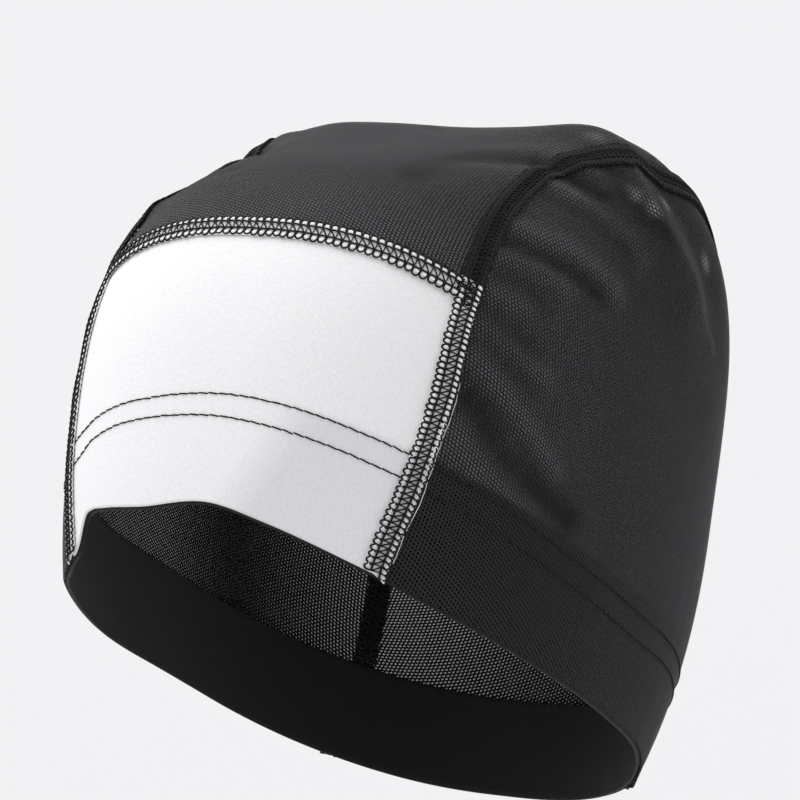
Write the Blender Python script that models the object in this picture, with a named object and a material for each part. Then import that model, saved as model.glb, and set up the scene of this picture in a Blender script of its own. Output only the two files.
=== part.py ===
"""Mesh swim cap in its worn form, in metres, +Z up and the forehead towards -Y.

A white forehead panel and a crown panel run over the middle of the head, two side panels
cover the ears' side, a facing lines the hem all round, and three flat seams join the
panels. Every piece follows one stretched form, given as a distance from the centre of the
hollow for each direction, so a change of one size moves all that lies on it.
The origin is on the cap's inner face, where the top of a head bears against it.
"""
import math

import bmesh
import bpy
import numpy as np

# Reach of the form from the centre of the hollow
HALF_WIDTH = 0.0771
FRONT_REACH = 0.0985
BACK_REACH = 0.0977
CROWN_REACH = 0.0854
LOWER_REACH = 0.1323

# Roundness of the form's outlines, where 2 is an ellipse and more is squarer
PLAN_ROUNDNESS = 2.27
CROWN_ROUNDNESS = 2.95
LOWER_ROUNDNESS = 2.09

# The worn form leans back from upright by this many degrees
LEAN = 13.7

# Cloth, seams and hem
PANEL_WALL = 0.0010
FACING_WALL = 0.0010
LAYER_GAP = 0.0004
PANEL_GAP = 0.0003
SEAM_WIDTH = 0.0064
SEAM_WALL = 0.0010
SEAM_LIFT = 0.0005
BAND_HEIGHT = 0.0300
FACING_DROP = 0.0009
FACING_RISE = 0.0012
FOLD_SPREAD = 0.0090
FOLD_HEIGHT = 0.0030

# Hem, by azimuth from the forehead towards the wearer's left: the elevation of its edge
# in degrees, and the band above it as a share of BAND_HEIGHT
HEM = [
    dict(azimuth=-150, elevation=-43.0, band=0.92),
    dict(azimuth=-110, elevation=-40.0, band=0.92),
    dict(azimuth=-70, elevation=-32.8, band=0.97),
    dict(azimuth=-46, elevation=-24.2, band=1.02),
    dict(azimuth=-31, elevation=-19.4, band=0.93),
    dict(azimuth=-22, elevation=-11.5, band=0.88),
    dict(azimuth=-10, elevation=-10.9, band=0.92),
    dict(azimuth=3, elevation=-9.7, band=0.94),
    dict(azimuth=12, elevation=-11.7, band=0.98),
    dict(azimuth=27, elevation=-17.0, band=1.09),
    dict(azimuth=44, elevation=-23.6, band=1.10),
    dict(azimuth=70, elevation=-32.8, band=0.99),
    dict(azimuth=92, elevation=-37.9, band=0.93),
    dict(azimuth=118, elevation=-40.5, band=0.92),
    dict(azimuth=150, elevation=-43.0, band=0.92),
    dict(azimuth=180, elevation=-44.0, band=0.92),
]

# Side seams, by turn from level at the forehead over the crown and down the back:
# how far each lies from the middle of the head, in degrees
SIDE_SEAM = [
    dict(turn=-35, aside=23.0),
    dict(turn=-20, aside=27.8),
    dict(turn=-5, aside=33.1),
    dict(turn=10, aside=35.6),
    dict(turn=30, aside=34.6),
    dict(turn=55, aside=31.3),
    dict(turn=82, aside=29.4),
    dict(turn=94, aside=31.0),
    dict(turn=104, aside=32.6),
    dict(turn=120, aside=32.4),
    dict(turn=150, aside=32.5),
    dict(turn=190, aside=31.0),
    dict(turn=240, aside=25.0),
]

# Seam over the forehead: its turn at the middle and at the side seams, in degrees
FRONT_SEAM_TURN_MIDDLE = 33.6
FRONT_SEAM_TURN_SIDE = 33.0

# Swells and hollows of the form: place and spread in degrees, height as a share of
# HALF_WIDTH. Those off the middle are on both sides.
SWELLS = [
    dict(name="back of the crown", azimuth=122.4, elevation=60.0, spread=28.0, height=0.240),
    dict(name="above the forehead", azimuth=0.0, elevation=35.0, spread=30.0, height=-0.051),
]

# Folds of the stretched cloth, along points of (azimuth, elevation) on both sides:
# height and spread as shares of FOLD_HEIGHT and FOLD_SPREAD
FOLDS = [
    dict(name="tent over the back", height=0.80, spread=0.90,
         along=[(106, 66), (99, 61), (93, 55), (91, 50), (94, 44), (98, 38)]),
    dict(name="hollow behind the tent", height=-0.85, spread=0.95,
         along=[(113, 64), (106, 58), (103, 52), (104, 46), (109, 39)]),
    dict(name="end of the tent", height=0.35, spread=1.20,
         along=[(96, 42), (103, 33), (114, 24)]),
    dict(name="upper pull", height=0.45, spread=0.90,
         along=[(70, 51), (76, 45), (85, 35)]),
    dict(name="middle pull", height=0.40, spread=0.90,
         along=[(54, 42), (70, 40), (81, 29)]),
    dict(name="lower pull", height=0.30, spread=0.80,
         along=[(49, 35), (60, 35), (74, 31)]),
    dict(name="hollow behind the seam", height=-0.70, spread=1.00,
         along=[(43, 17), (46, 10), (50, 4), (57, -2)]),
    dict(name="dip of the crown", height=-0.50, spread=1.50,
         along=[(40, 66), (62, 72)]),
]

# Cells of each piece's cloth, across and along
FRONT_CELLS = (16, 10)
CROWN_CELLS = (12, 34)
SIDE_CELLS = (26, 18)
FACING_CELLS = (72, 3)
SIDE_SEAM_CELLS = (2, 70)
FRONT_SEAM_CELLS = (18, 2)

# Turns at which a side panel's front edge becomes its top and its top its back edge
SIDE_TOP_START = 48.0
SIDE_TOP_END = 132.0

WHITE_CLOTH = dict(colour=(0.86, 0.86, 0.88, 1.0), roughness=0.75)
BLACK_MESH = dict(colour=(0.035, 0.032, 0.036, 1.0), roughness=0.70)
BAND_CLOTH = dict(colour=(0.016, 0.016, 0.018, 1.0), roughness=0.80)
SEAM_THREAD = dict(colour=(0.012, 0.012, 0.013, 1.0), roughness=0.60)


def smooth(table, key, value, at):
    """Curve through a table's rows, without corners, read at the given places."""
    places = np.array([row[key] for row in table], float)
    values = np.array([row[value] for row in table], float)
    slopes = np.gradient(values, places)
    at = np.clip(at, places[0], places[-1])
    row = np.clip(np.searchsorted(places, at) - 1, 0, len(places) - 2)
    gap = places[row + 1] - places[row]
    part = (at - places[row]) / gap
    square, cube = part ** 2, part ** 3
    return ((2 * cube - 3 * square + 1) * values[row] + (cube - 2 * square + part) * gap * slopes[row]
            + (3 * square - 2 * cube) * values[row + 1] + (cube - square) * gap * slopes[row + 1])


def around(table):
    """The hem's rows with the first and last ones repeated a turn away."""
    before = [dict(row, azimuth=row["azimuth"] - 360) for row in table[-2:]]
    after = [dict(row, azimuth=row["azimuth"] + 360) for row in table[:2]]
    return before + table + after


def by_azimuth(azimuth, elevation):
    """Directions from azimuth and elevation in degrees."""
    turn, rise = np.radians(azimuth), np.radians(elevation)
    return np.stack([np.sin(turn) * np.cos(rise), -np.cos(turn) * np.cos(rise), np.sin(rise)], -1)


def by_turn(aside, turn):
    """Directions from the angle off the middle and the turn over the head, in degrees."""
    side, over = np.radians(aside), np.radians(turn)
    return np.stack([np.sin(side) + 0 * over, -np.cos(side) * np.cos(over), np.cos(side) * np.sin(over)], -1)


def azimuth_of(way):
    return np.degrees(np.arctan2(way[..., 0], -way[..., 1]))


def elevation_of(way):
    return np.degrees(np.arcsin(np.clip(way[..., 2], -1, 1)))


def unit(vectors):
    return vectors / np.linalg.norm(vectors, axis=-1, keepdims=True)


def mirrored(way):
    return way * np.array([-1.0, 1.0, 1.0])


def off_path(way, path):
    """Shortest distance between directions and a path of directions, as a share of reach."""
    nearest = np.full(way.shape[:-1], np.inf)
    for start, end in zip(path[:-1], path[1:]):
        run = end - start
        part = np.clip(((way - start) @ run) / (run @ run), 0, 1)
        nearest = np.minimum(nearest, np.linalg.norm(way - start - part[..., None] * run, axis=-1))
    return nearest


def fold_path(points):
    """Directions along a fold, on a curve through its points."""
    rows = [dict(place=place, azimuth=azimuth, elevation=elevation)
            for place, (azimuth, elevation) in enumerate(points)]
    places = np.linspace(0, len(points) - 1, 4 * len(points))
    return by_azimuth(smooth(rows, "place", "azimuth", places), smooth(rows, "place", "elevation", places))


FOLD_PATHS = [fold_path(fold["along"]) for fold in FOLDS]


def form_reach(way):
    """Distance of the cloth's outer face from the centre of the hollow."""
    right, back, up = way[..., 0], way[..., 1], way[..., 2]
    length = np.where(back < 0, FRONT_REACH, BACK_REACH)
    plan = (np.abs(right / HALF_WIDTH) ** PLAN_ROUNDNESS
            + np.abs(back / length) ** PLAN_ROUNDNESS) ** (1 / PLAN_ROUNDNESS)
    height = np.where(up > 0, CROWN_REACH, LOWER_REACH)
    roundness = np.where(up > 0, CROWN_ROUNDNESS, LOWER_ROUNDNESS)
    reach = (plan ** roundness + np.abs(up / height) ** roundness) ** (-1 / roundness)
    for swell in SWELLS:
        centre = by_azimuth(swell["azimuth"], swell["elevation"])
        centres = [centre, mirrored(centre)] if swell["azimuth"] else [centre]
        for middle in centres:
            angle = np.degrees(np.arccos(np.clip(way @ middle, -1, 1)))
            reach = reach + swell["height"] * HALF_WIDTH * np.exp(-(angle / swell["spread"]) ** 2)
    for fold, path in zip(FOLDS, FOLD_PATHS):
        spread = fold["spread"] * FOLD_SPREAD / HALF_WIDTH
        for line in (path, mirrored(path)):
            share = np.exp(-(off_path(way, line) / spread) ** 2)
            reach = reach + fold["height"] * FOLD_HEIGHT * share
    return reach


def on_form(way, lift):
    """Points at a height over the form's face, along its normal."""
    upright = np.array([0.0, 0.0, 1.0])
    level = np.array([1.0, 0.0, 0.0])
    first = unit(np.cross(way, np.where(np.abs(way[..., 2:]) < 0.9, upright, level)))
    second = np.cross(way, first)
    step = 0.01
    centre = form_reach(way)[..., None] * way

    def beside(direction):
        ahead, behind = unit(way + step * direction), unit(way - step * direction)
        return form_reach(ahead)[..., None] * ahead - form_reach(behind)[..., None] * behind

    normal = unit(np.cross(beside(first), beside(second)))
    return centre + np.asarray(lift)[..., None] * normal


def hem_elevation(azimuth):
    turned = (np.asarray(azimuth, float) + 180) % 360 - 180
    return smooth(around(HEM), "azimuth", "elevation", turned)


def band_height(azimuth):
    turned = (np.asarray(azimuth, float) + 180) % 360 - 180
    return smooth(around(HEM), "azimuth", "band", turned) * BAND_HEIGHT


def above_hem(azimuth, height):
    """Directions at a height over the hem's edge, measured along the cloth."""
    edge = by_azimuth(azimuth, hem_elevation(azimuth))
    rise = np.degrees(height / form_reach(edge))
    return by_azimuth(azimuth, hem_elevation(azimuth) + rise)


def seam_aside(turn):
    return smooth(SIDE_SEAM, "turn", "aside", np.asarray(turn, float))


def front_seam_turn(share):
    """Turn of the forehead's seam, by the share of the way from the middle to a side seam."""
    return FRONT_SEAM_TURN_MIDDLE + (FRONT_SEAM_TURN_SIDE - FRONT_SEAM_TURN_MIDDLE) * share ** 2


def degrees_of(length, reach):
    return math.degrees(length / reach)


def hem_turn(share, low, high):
    """Turn where a line at a share of the panel's width crosses the hem, between two turns.

    The first turn is above the hem and the second below it.
    """
    above = np.full(np.shape(share), float(low))
    below = np.full(np.shape(share), float(high))
    for _ in range(40):
        middle = (above + below) / 2
        way = by_turn(share * seam_aside(middle), middle)
        clear = elevation_of(way) > hem_elevation(azimuth_of(way))
        above = np.where(clear, middle, above)
        below = np.where(clear, below, middle)
    return above


def middle_aside(share, turn, trim):
    """Angle off the middle at a share of a middle panel's width, its edges trimmed back."""
    return share * (seam_aside(turn) - degrees_of(trim, HALF_WIDTH))


def front_panel_ways(across, along):
    share = 2 * across - 1
    bottom = hem_turn(share, 10, -60)
    top = front_seam_turn(share) - degrees_of(PANEL_GAP / 2, FRONT_REACH)
    turn = bottom + (top - bottom) * along
    return by_turn(middle_aside(share, turn, PANEL_GAP / 2), turn)


def crown_panel_ways(across, along):
    share = 2 * across - 1
    front = front_seam_turn(share) + degrees_of(PANEL_GAP / 2, FRONT_REACH)
    back = hem_turn(share, 170, 260)
    turn = front + (back - front) * along
    return by_turn(middle_aside(share, turn, PANEL_GAP / 2), turn)


def side_panel_ways(side):
    """Directions over a side panel, blended between its hem and three stretches of seam."""
    front_corner = float(hem_turn(np.array(float(side)), 10, -60))
    back_corner = float(hem_turn(np.array(float(side)), 170, 260))

    def seam(turn):
        return by_turn(side * (seam_aside(turn) + degrees_of(PANEL_GAP / 2, HALF_WIDTH)), turn)

    start = float(azimuth_of(seam(front_corner)))
    end = float(azimuth_of(seam(back_corner)))

    def ways(across, along):
        azimuth = start + (end - start) * across
        bottom = by_azimuth(azimuth, hem_elevation(azimuth))
        top = seam(SIDE_TOP_START + (SIDE_TOP_END - SIDE_TOP_START) * across)
        front = seam(front_corner + (SIDE_TOP_START - front_corner) * along)
        back = seam(back_corner + (SIDE_TOP_END - back_corner) * along)
        u, v = across[..., None], along[..., None]
        corners = ((1 - u) * (1 - v) * by_azimuth(start, hem_elevation(start))
                   + u * (1 - v) * by_azimuth(end, hem_elevation(end))
                   + (1 - u) * v * seam(SIDE_TOP_START) + u * v * seam(SIDE_TOP_END))
        return unit((1 - v) * bottom + v * top + (1 - u) * front + u * back - corners)

    return ways


def facing_ways(across, along):
    azimuth = 360 * across - 180
    top = band_height(azimuth) + FACING_RISE
    return above_hem(azimuth, -FACING_DROP + (top + FACING_DROP) * along)


def side_seam_ways(side):
    """Directions over a side seam, whose ends are cut along the hem."""

    def ways(across, along):
        offset = SEAM_WIDTH * (across - 0.5)
        share = side * (1 + side * np.degrees(offset / HALF_WIDTH) / seam_aside(0.0))
        front_corner, back_corner = hem_turn(share, 10, -60), hem_turn(share, 170, 260)
        turn = front_corner + (back_corner - front_corner) * along
        line = by_turn(side * seam_aside(turn), turn)
        ahead = by_turn(side * seam_aside(turn + 0.5), turn + 0.5)
        sideways = unit(np.cross(ahead - line, line))
        return unit(line + (offset / form_reach(line))[..., None] * sideways)

    return ways


def front_seam_ways(across, along):
    share = 2 * across - 1
    turn = front_seam_turn(share) + degrees_of(SEAM_WIDTH, FRONT_REACH) * (along - 0.5)
    trim = SEAM_WIDTH / 2 + PANEL_GAP
    reach = form_reach(by_turn(seam_aside(turn), turn))
    aside = share * (seam_aside(turn) - np.degrees(trim / reach))
    return by_turn(aside, turn)


def lean(points):
    """Points of the upright form, leant back and moved so that the head's seat is the origin."""
    angle = math.radians(LEAN)
    turn = np.array([[1, 0, 0], [0, math.cos(angle), math.sin(angle)], [0, -math.sin(angle), math.cos(angle)]])
    seat = np.array([0.0, -math.sin(angle), math.cos(angle)])
    rise = float(form_reach(seat)) - PANEL_WALL
    return points @ turn.T - np.array([0.0, 0.0, rise])


def cloth(name, finish, cells, ways, face_lift, wall, closed=False):
    """A piece of cloth: a grid laid on the form, given its wall towards the hollow."""
    mesh_work = bmesh.new()
    bmesh.ops.create_grid(mesh_work, x_segments=cells[0], y_segments=cells[1], size=0.5)
    mesh_work.verts.ensure_lookup_table()
    across = np.array([vert.co.x + 0.5 for vert in mesh_work.verts])
    along = np.array([vert.co.y + 0.5 for vert in mesh_work.verts])
    points = lean(on_form(ways(across, along), np.full(across.shape, face_lift)))
    for vert, point in zip(mesh_work.verts, points):
        vert.co = point
    if closed:
        bmesh.ops.remove_doubles(mesh_work, verts=mesh_work.verts, dist=1e-6)
    mesh_work.normal_update()
    centre = lean(np.zeros(3))
    outward = sum(face.normal @ (face.calc_center_median() - face.normal.__class__(centre))
                  for face in mesh_work.faces)
    if outward < 0:
        bmesh.ops.reverse_faces(mesh_work, faces=mesh_work.faces)
    mesh = bpy.data.meshes.new(name)
    mesh_work.to_mesh(mesh)
    mesh_work.free()
    mesh.shade_smooth()
    piece = bpy.data.objects.new(name, mesh)
    bpy.context.scene.collection.objects.link(piece)
    thickness = piece.modifiers.new("Wall", "SOLIDIFY")
    thickness.thickness = wall
    thickness.offset = -1.0
    mesh.materials.append(material(name, finish))
    return piece


def material(name, finish):
    look = bpy.data.materials.new(name)
    look.use_nodes = True
    shader = look.node_tree.nodes["Principled BSDF"]
    shader.inputs["Base Color"].default_value = finish["colour"]
    shader.inputs["Roughness"].default_value = finish["roughness"]
    shader.inputs["Metallic"].default_value = 0.0
    look.diffuse_color = finish["colour"]
    return look


def main():
    for leftover in list(bpy.data.objects):
        bpy.data.objects.remove(leftover)
    cloth("front_panel", WHITE_CLOTH, FRONT_CELLS, front_panel_ways, 0.0, PANEL_WALL)
    cloth("crown_panel", BLACK_MESH, CROWN_CELLS, crown_panel_ways, 0.0, PANEL_WALL)
    cloth("side_panel_left", BLACK_MESH, SIDE_CELLS, side_panel_ways(1), 0.0, PANEL_WALL)
    cloth("side_panel_right", BLACK_MESH, SIDE_CELLS, side_panel_ways(-1), 0.0, PANEL_WALL)
    inside = -(PANEL_WALL + LAYER_GAP)
    cloth("hem_facing", BAND_CLOTH, FACING_CELLS, facing_ways, inside, FACING_WALL, closed=True)
    outside = SEAM_LIFT + SEAM_WALL
    cloth("seam_left", SEAM_THREAD, SIDE_SEAM_CELLS, side_seam_ways(1), outside, SEAM_WALL)
    cloth("seam_right", SEAM_THREAD, SIDE_SEAM_CELLS, side_seam_ways(-1), outside, SEAM_WALL)
    cloth("seam_front", SEAM_THREAD, FRONT_SEAM_CELLS, front_seam_ways, outside, SEAM_WALL)


main()
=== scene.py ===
"""Mesh swim cap in its worn form: cloth panels, hem, flat seams, hem rows and a plain studio.

The cap has a white knit panel over the forehead, a black mesh panel over the crown and two
black mesh panels at the sides. All of them lie on one stretched form, within a few
millimetres of the frame's, and carry finer folds, seam threads and stitches.
"""
import math

import bpy
import numpy as np
from bpy.props import FloatProperty, FloatVectorProperty, IntProperty, PointerProperty
from bpy.types import Operator, Panel, PropertyGroup
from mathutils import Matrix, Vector


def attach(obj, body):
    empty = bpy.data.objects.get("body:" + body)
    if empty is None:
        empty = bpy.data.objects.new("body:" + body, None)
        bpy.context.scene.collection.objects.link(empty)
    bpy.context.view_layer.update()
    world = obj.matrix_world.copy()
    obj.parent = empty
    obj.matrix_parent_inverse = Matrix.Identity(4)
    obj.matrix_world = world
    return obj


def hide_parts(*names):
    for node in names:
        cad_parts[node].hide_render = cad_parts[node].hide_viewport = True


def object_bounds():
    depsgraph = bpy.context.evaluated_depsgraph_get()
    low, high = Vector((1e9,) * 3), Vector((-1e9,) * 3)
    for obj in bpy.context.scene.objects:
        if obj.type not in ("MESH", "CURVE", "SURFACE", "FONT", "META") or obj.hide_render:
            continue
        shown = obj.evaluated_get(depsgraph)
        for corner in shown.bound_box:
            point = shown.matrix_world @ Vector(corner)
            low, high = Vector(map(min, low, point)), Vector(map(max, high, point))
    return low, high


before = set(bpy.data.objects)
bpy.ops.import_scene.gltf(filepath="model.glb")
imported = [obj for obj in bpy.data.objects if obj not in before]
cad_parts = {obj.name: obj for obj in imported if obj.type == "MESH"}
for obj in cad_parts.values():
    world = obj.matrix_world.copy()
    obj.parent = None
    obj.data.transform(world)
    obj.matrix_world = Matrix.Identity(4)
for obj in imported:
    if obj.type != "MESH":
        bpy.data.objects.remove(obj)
FRAME_BOX = [[float(value) for value in corner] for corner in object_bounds()]
BODY = "root"

bl_info = {
    "name": "Mesh swim cap maker",
    "version": (1, 0, 0),
    "blender": (4, 5, 0),
    "location": "View3D > Sidebar > Swim cap",
    "description": "Makes the cloth, seams, stitches and studio of a mesh swim cap",
    "category": "Object",
}


def rows(keys, values):
    """Rows of a table, from the names of its columns and a tuple for each row."""
    return [dict(zip(keys.split(), row)) for row in values]


# Hem, by azimuth from the forehead towards the wearer's left: the elevation of its edge
# in degrees, and the two rows of stitching over it as shares of the band's height
HEM = rows("azimuth elevation upper lower", [
    (-150, -43.0, 0.92, 0.72), (-110, -40.0, 0.92, 0.72), (-70, -32.8, 0.97, 0.76),
    (-46, -24.2, 1.02, 0.80), (-31, -19.9, 1.07, 0.84), (-26.3, -16.8, 1.01, 0.80),
    (-24.2, -12.9, 0.843, 0.655), (-22.3, -12.0, 0.83, 0.645), (-19, -11.6, 0.87, 0.69),
    (-10, -11.05, 0.944, 0.765), (3, -9.7, 0.93, 0.735), (12, -11.8, 1.01, 0.80),
    (27, -16.9, 1.09, 0.87), (44, -23.6, 1.10, 0.86), (70, -32.8, 0.99, 0.76),
    (92, -37.9, 0.93, 0.70), (118, -40.5, 0.92, 0.72), (150, -43.0, 0.92, 0.72),
    (180, -44.0, 0.92, 0.72),
])

# Side seams, by turn from level at the forehead over the crown and down the back:
# how far each lies from the cap's middle, in degrees
SIDE_SEAM = rows("turn aside", [
    (-35, 23.0), (-20, 27.8), (-5, 33.1), (10, 35.6), (30, 34.6), (55, 31.3), (82, 29.4),
    (94, 31.0), (104, 32.6), (120, 31.6), (150, 32.2), (190, 31.0), (240, 25.0),
])

# Swells and hollows of the form: place and spread in degrees, height as a share of the
# form's half width. Those off the middle are on both sides.
SWELLS = rows("name azimuth elevation spread height", [
    ("back of the crown", 122.4, 60.0, 28.0, 0.240),
    ("above the forehead", 0.0, 35.0, 30.0, -0.051),
])

# Folds of the stretched cloth, along points of (azimuth, elevation) on both sides: rise
# and spread as shares of the fold's height and width, and how much more or less painted
# light its holes show, which paints the folds' light and dark bands
FOLDS = rows("name rise spread tone along", [
    ("tent edge", 0.80, 0.90, 0.0, [(106, 66), (99, 61), (93, 55), (91, 50), (94, 44), (98, 38)]),
    ("tent crease", 0.16, 0.16, 0.30,
     [(102, 64), (99, 61), (94, 56), (91, 51), (92, 47), (95, 42), (99, 37), (108, 29)]),
    ("hollow behind the tent", -0.85, 0.95, -0.2,
     [(113, 64), (106, 58), (103, 52), (104, 46), (109, 39)]),
    ("tent end", 0.35, 1.20, 0.0, [(96, 42), (103, 33), (114, 24)]),
    ("gather at the crown's seam", 0.16, 0.22, 0.25, [(58, 58), (63, 54), (68, 51)]),
    ("gather below the crown's seam", -0.18, 0.24, -0.30, [(64, 60), (70, 56), (76, 52)]),
    ("gather behind the crown's seam", 0.16, 0.22, 0.25, [(72, 61), (79, 57), (85, 53)]),
    ("first pull light", 0.20, 0.36, 0.38, [(50, 41), (59, 40), (66, 38), (73, 35)]),
    ("first pull dark", -0.25, 0.34, -0.50, [(46, 38), (54, 37), (62, 36), (68, 34)]),
    ("second pull light", 0.14, 0.32, 0.30, [(45, 35), (51, 35), (59, 33)]),
    ("second pull dark", -0.14, 0.30, -0.25, [(45, 32), (50, 31), (54, 29)]),
    ("third pull light", 0.10, 0.30, 0.22, [(42, 29), (46, 28), (50, 27)]),
    ("third pull dark", -0.16, 0.34, -0.35, [(41, 25), (46, 23), (51, 21)]),
    ("fourth pull light", 0.14, 0.30, 0.30, [(42, 23), (47, 21), (52, 18), (55, 17)]),
    ("fourth pull dark", -0.12, 0.30, -0.25, [(41, 20), (46, 18), (52, 15)]),
    ("fifth pull light", 0.16, 0.34, 0.34, [(40, 18), (44, 15), (50, 10), (56, 5), (59, 2)]),
    ("fifth pull dark", -0.10, 0.30, -0.20, [(40, 16), (45, 11), (51, 6), (56, 1)]),
    ("hollow behind the seam", -0.34, 0.42, -0.60,
     [(40, 11), (43, 8), (47, 3), (53, -1), (58, -3), (64, -6)]),
    ("swell behind the seam", 0.16, 0.50, 0.35, [(40, 6), (43, 3), (48, -1), (53, -5)]),
    ("upper pull light", 0.14, 0.34, 0.28, [(63, 52), (71, 49), (78, 45), (82, 41)]),
    ("upper pull dark", -0.14, 0.34, -0.25, [(60, 50), (66, 48), (72, 46), (79, 42)]),
    ("back pull light", 0.12, 0.32, 0.22, [(77, 53), (83, 48), (88, 44)]),
    ("back pull dark", -0.16, 0.34, -0.35, [(73, 54), (81, 50), (88, 45)]),
    ("tent foot", -0.20, 0.36, -0.40, [(84, 55), (87, 49), (91, 45)]),
    ("crown streak", 0.12, 0.42, 0.30, [(30, 55), (44, 58), (59, 57)]),
    ("crown dip", -0.30, 0.50, -0.40, [(27, 51), (38, 59), (52, 61), (63, 59)]),
    ("crown ridge", 0.12, 0.40, 0.20, [(51, 65), (67, 65), (78, 63)]),
])

# Puckers beside the far side seam and spots of painted light at the back, each at one place:
# rise and spread as shares of the fold's height and width, and how much more or less
# painted light the holes show
SPOTS = rows("name azimuth elevation rise spread tone", [
    ("far seam pucker at the crown", -82, 63.5, 0.45, 0.45, 0.0),
    ("far seam pucker in front", -41, 40, 0.35, 0.35, 0.0),
    ("far side in front", -50, 49, -0.65, 0.90, 0.0),
    ("far side of the crown", -65, 57, -0.65, 1.00, 0.0),
    ("far side behind the pucker", -88, 57, -0.55, 0.80, 0.0),
    ("crown over the seam", 101, 67.5, 0.28, 1.10, -0.1),
    ("crown behind the seam", 113, 65, 0.55, 1.10, -0.1),
    ("crown at the back", 124, 60.5, 0.55, 1.10, -0.1),
    # Spots of painted light in the holes, on cloth of the same thickness and openness as elsewhere
    ("thin spot at the seam", 95, 64.5, 0.0, 0.25, 1.2),
    ("thin spot over the seam", 119, 61.5, 0.0, 0.20, 2.4),
    ("thin spot before the tent", 87, 51.5, 0.0, 0.20, 1.6),
    ("thin spot beside the tent", 90, 48.8, 0.0, 0.20, 1.6),
    ("thin spot behind the tent", 101, 50.8, 0.0, 0.20, 2.4),
    ("thin spot at the back", 112, 42, 0.0, 0.20, 2.2),
])

# Edge of the loose cloth behind the tent, by elevation: from which azimuth it starts
TENT = rows("elevation azimuth", [
    (20, 120), (30, 107), (40, 96.5), (51, 91), (61, 99), (68, 108),
])

# One stitch of a flat seam. Each thread runs through points of (along, across, lift) as
# shares of the stitch's length, half the seam's width and the thread's diameter. The
# loops on the mesh side lean back along the seam.
SEAM_THREADS = rows("name girth mirror points", [
    ("rail", 1.05, True,
     [(0.0, 0.34, 0.9), (0.25, 0.37, 1.3), (0.5, 0.38, 1.4), (0.75, 0.37, 1.3), (1.0, 0.34, 0.9)]),
    ("loop", 1.0, True,
     [(0.07, 0.36, 0.9), (0.05, 0.60, 0.9), (0.09, 0.80, 0.8), (0.24, 0.94, 0.7), (0.50, 1.00, 0.6),
      (0.76, 0.94, 0.7), (0.91, 0.80, 0.8), (0.95, 0.60, 0.9), (0.93, 0.36, 0.9)]),
    ("diagonal", 0.85, False,
     [(0.02, -0.36, 1.2), (0.30, -0.14, 1.7), (0.70, 0.14, 1.7), (0.98, 0.36, 1.2)]),
    ("bar", 0.62, False, [(0.02, 0.36, 0.9), (0.06, 0.0, 1.0), (0.02, -0.36, 0.9)]),
])

# How far across the half seam a loop's foot lies, about which the loops slant
LOOP_FOOT = 0.36

# One stitch of a hem row, through points of (along, lift) in the same way
ROW_STITCH = [(0.01, -0.45), (0.09, 0.15), (0.28, 0.5), (0.5, 0.58), (0.72, 0.5), (0.91, 0.15),
              (0.99, -0.45)]

# How far a hem row's stitches slant and waver sideways, in metres
ROW_SLANT = 0.00020
ROW_WAVER = 0.00003


def metres(name, description, default):
    return FloatProperty(name=name, description=description, default=default, unit="LENGTH", precision=5)


def degrees(name, description, default):
    return FloatProperty(name=name, description=description, default=math.radians(default),
                         subtype="ANGLE")


def number(name, description, default):
    return FloatProperty(name=name, description=description, default=default)


def colour(name, description, default):
    return FloatVectorProperty(name=name, description=description, default=default, subtype="COLOR")


class CapForm(PropertyGroup):
    """Sizes of the stretched form that every piece lies on."""

    half_width: metres("Half width", "Reach to each side", 0.0771)
    front_reach: metres("Front reach", "Reach to the forehead", 0.0985)
    back_reach: metres("Back reach", "Reach to the back", 0.0977)
    crown_reach: metres("Crown reach", "Reach upwards", 0.0854)
    lower_reach: metres("Lower reach", "Reach downwards if the form went on", 0.1323)
    plan_roundness: number("Plan roundness", "2 is an ellipse", 2.27)
    crown_roundness: number("Crown roundness", "2 is an ellipse", 2.95)
    lower_roundness: number("Lower roundness", "2 is an ellipse", 2.09)
    lean: degrees("Lean", "How far the worn cap leans back", 13.7)
    seat_wall: metres("Seat wall", "Wall over the seat, which is the origin", 0.0010)
    band_height: metres("Band height", "Height of the lined band at the hem", 0.0300)
    fold_height: metres("Fold height", "Height of the largest fold", 0.0030)
    fold_width: metres("Fold width", "Half width of the largest fold", 0.0090)
    front_seam_middle: degrees("Front seam at the middle", "Turn up from level", 33.6)
    front_seam_side: degrees("Front seam at the sides", "Turn up from level", 33.0)


class CapCloth(PropertyGroup):
    """Walls, net and colours of the cloth."""

    panel_wall: metres("Panel wall", "Thickness of a panel", 0.00055)
    facing_wall: metres("Facing wall", "Thickness of the hem's lining", 0.0006)
    facing_depth: metres("Facing depth", "From the outer face to the lining", 0.0009)
    facing_drop: metres("Facing drop", "How far the lining shows below the hem", 0.0008)
    net_pitch: metres("Net pitch", "From hole to hole along a row", 0.00103)
    net_hole: number("Net hole", "Half width of a hole as a share of the pitch", 0.25)
    net_open: FloatProperty(name="Net openness", description="How much light a hole lets through",
                            default=0.45, min=0.0, max=1.0, subtype="FACTOR")
    side_grain: degrees("Side grain", "Turn of the net's rows on a side panel", 22)
    crown_grain: degrees("Crown grain", "Turn of the net's rows on the crown panel", 35)
    knit_pitch: metres("Knit pitch", "From rib to rib of the white knit", 0.00048)
    net_colour: colour("Net", "Yarn of the mesh", (0.0124, 0.0114, 0.0129))
    lined_net_colour: colour("Lined net", "Yarn of the mesh over the lining", (0.0260, 0.0260, 0.0272))
    # Painted light: the pale colour shown in the mesh's holes, scaled by the painted hole light
    painted_hole_light_colour: colour("Holes", "Light tone within the mesh's holes", (0.200, 0.195, 0.205))
    band_colour: colour("Lining", "Lining of the hem", (0.012, 0.012, 0.013))
    white_colour: colour("White knit", "Forehead panel", (0.890, 0.890, 0.900))
    # Painted shade: the white knit's colour on its band's side away from the light
    painted_shade_white_colour: colour("Lined white", "White knit over the lining", (0.735, 0.735, 0.755))


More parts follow.
